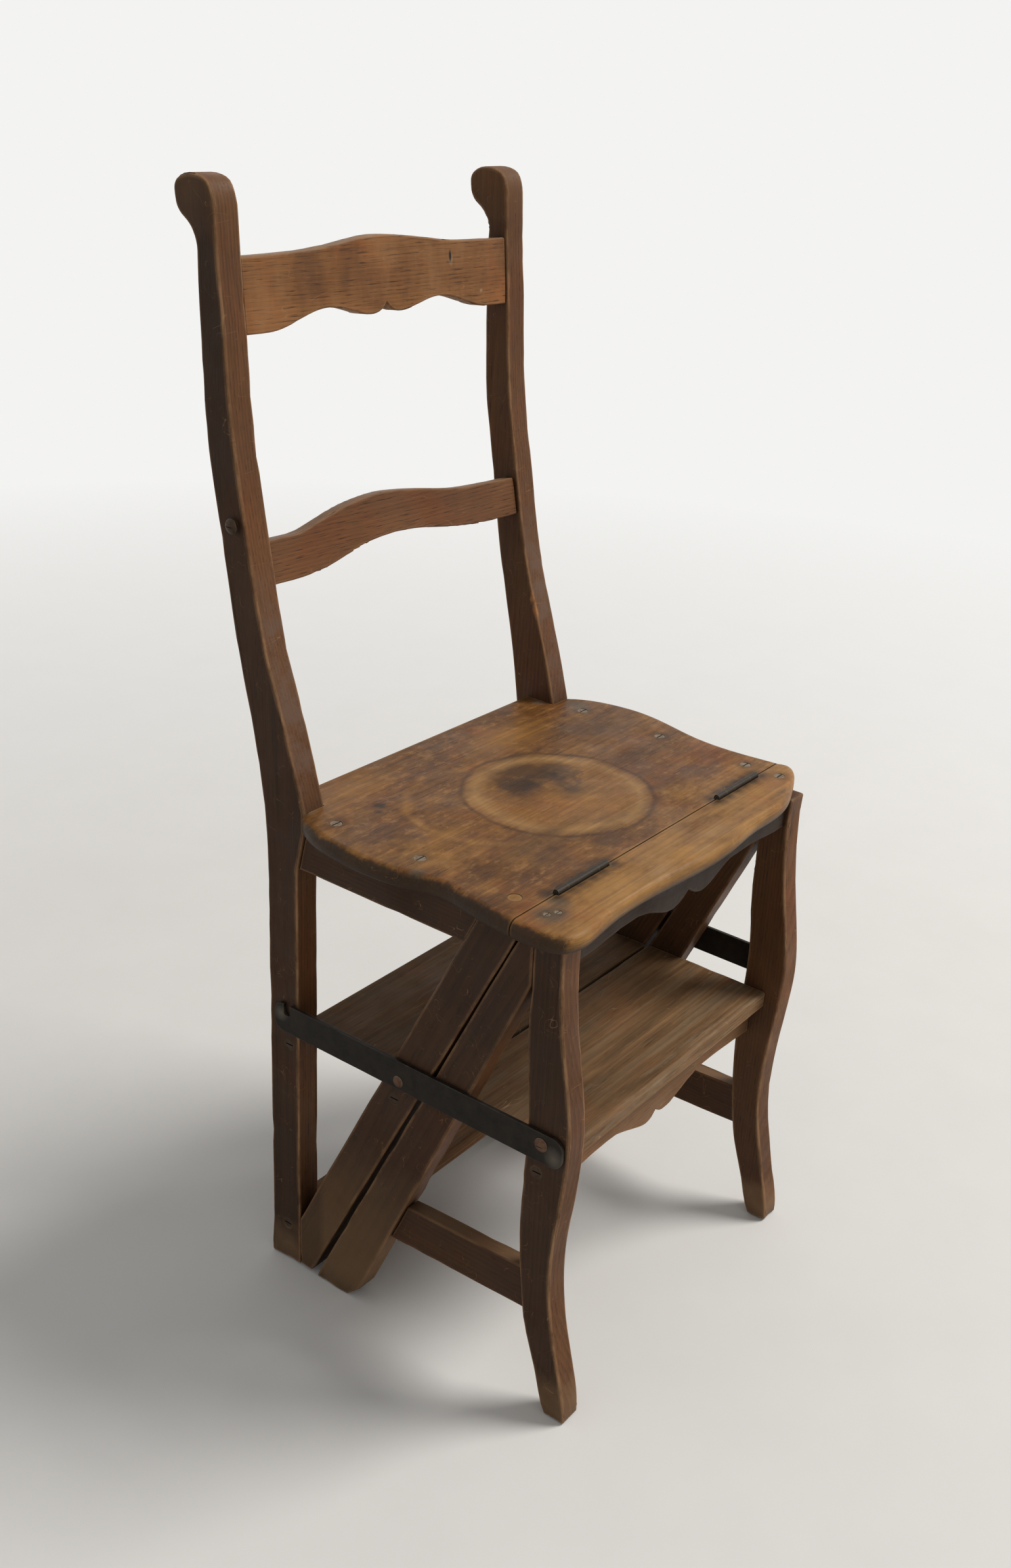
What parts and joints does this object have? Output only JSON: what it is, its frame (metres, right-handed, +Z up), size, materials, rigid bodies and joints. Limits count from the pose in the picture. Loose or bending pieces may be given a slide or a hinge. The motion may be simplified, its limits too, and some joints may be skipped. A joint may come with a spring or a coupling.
{
  "type": "library step chair",
  "caption": "Old oak library chair whose split seat turns over on butt hinges to make a set of steps, with curved front legs, scrolled back posts and flat iron stays.",
  "frame": {"origin": "centre of the bounding box in X and Y, on the floor at Z = 0", "axes": "+Z up, +X from the chair's left side to its right side as seen by someone who stands in front of it, +Y from its front to its back"},
  "size_m": [0.4, 0.4101, 0.9159],
  "materials": {
    "frame_oak": "old dark brown oak, waxed, with lighter worn edges",
    "seat_oak": "golden brown oak, worn and stained, waxed",
    "tread_oak": "brown oak, worn dull with grey streaks",
    "stay_iron": "blackened iron, rubbed bright along its edges",
    "hinge_iron": "dark tarnished iron",
    "grey_screw": "dull grey steel",
    "rusty_screw": "rusty steel with a coppery tinge"
  },
  "bodies": {
    "front_frame": {"front_leg_left": "frame_oak", "front_leg_right": "frame_oak", "front_stringer_left": "frame_oak", "front_stringer_right": "frame_oak", "side_stretcher_left": "frame_oak", "side_stretcher_right": "frame_oak", "lower_tread": "tread_oak", "lower_tread_apron": "tread_oak", "seat_apron": "frame_oak", "seat_front_strip": "seat_oak", "hinge_front_leaf_left": "hinge_iron", "hinge_front_leaf_right": "hinge_iron", "hinge_pin_left": "hinge_iron", "hinge_pin_right": "hinge_iron", "hinge_front_screws": "grey_screw", "lower_tread_screws": "grey_screw", "seat_strip_screw": "grey_screw", "seat_strip_nails": "grey_screw", "stay_pivot_screws": "rusty_screw"},
    "rear_frame": {"back_post_left": "frame_oak", "back_post_right": "frame_oak", "rear_stringer_left": "frame_oak", "rear_stringer_right": "frame_oak", "seat_rail_left": "frame_oak", "seat_rail_right": "frame_oak", "seat_panel": "seat_oak", "seat_plug": "seat_oak", "upper_tread": "tread_oak", "top_tread": "tread_oak", "top_rail": "frame_oak", "mid_rail": "frame_oak", "hinge_rear_leaf_left": "hinge_iron", "hinge_rear_leaf_right": "hinge_iron", "hinge_rear_screws": "grey_screw", "seat_panel_screws": "grey_screw", "rear_tread_screws": "grey_screw", "stay_hook_screws": "rusty_screw"},
    "stay_left": {"stay_left": "stay_iron", "stay_rivet_left": "rusty_screw"},
    "stay_right": {"stay_right": "stay_iron", "stay_rivet_right": "rusty_screw"}
  },
  "joints": [
    {"name": "fold", "type": "hinge", "parent": "front_frame", "child": "rear_frame", "pos_m": [0, -0.14, 0.458], "axis": [1, 0, 0], "range_deg": [0, 180]},
    {"name": "stay_left_swing", "type": "hinge", "parent": "front_frame", "child": "stay_left", "pos_m": [-0.1778, -0.166, 0.2655], "axis": [-1, 0, 0], "range_deg": [0, 176]},
    {"name": "stay_right_swing", "type": "hinge", "parent": "front_frame", "child": "stay_right", "pos_m": [0.1778, -0.166, 0.2655], "axis": [-1, 0, 0], "range_deg": [0, 176]}
  ]
}
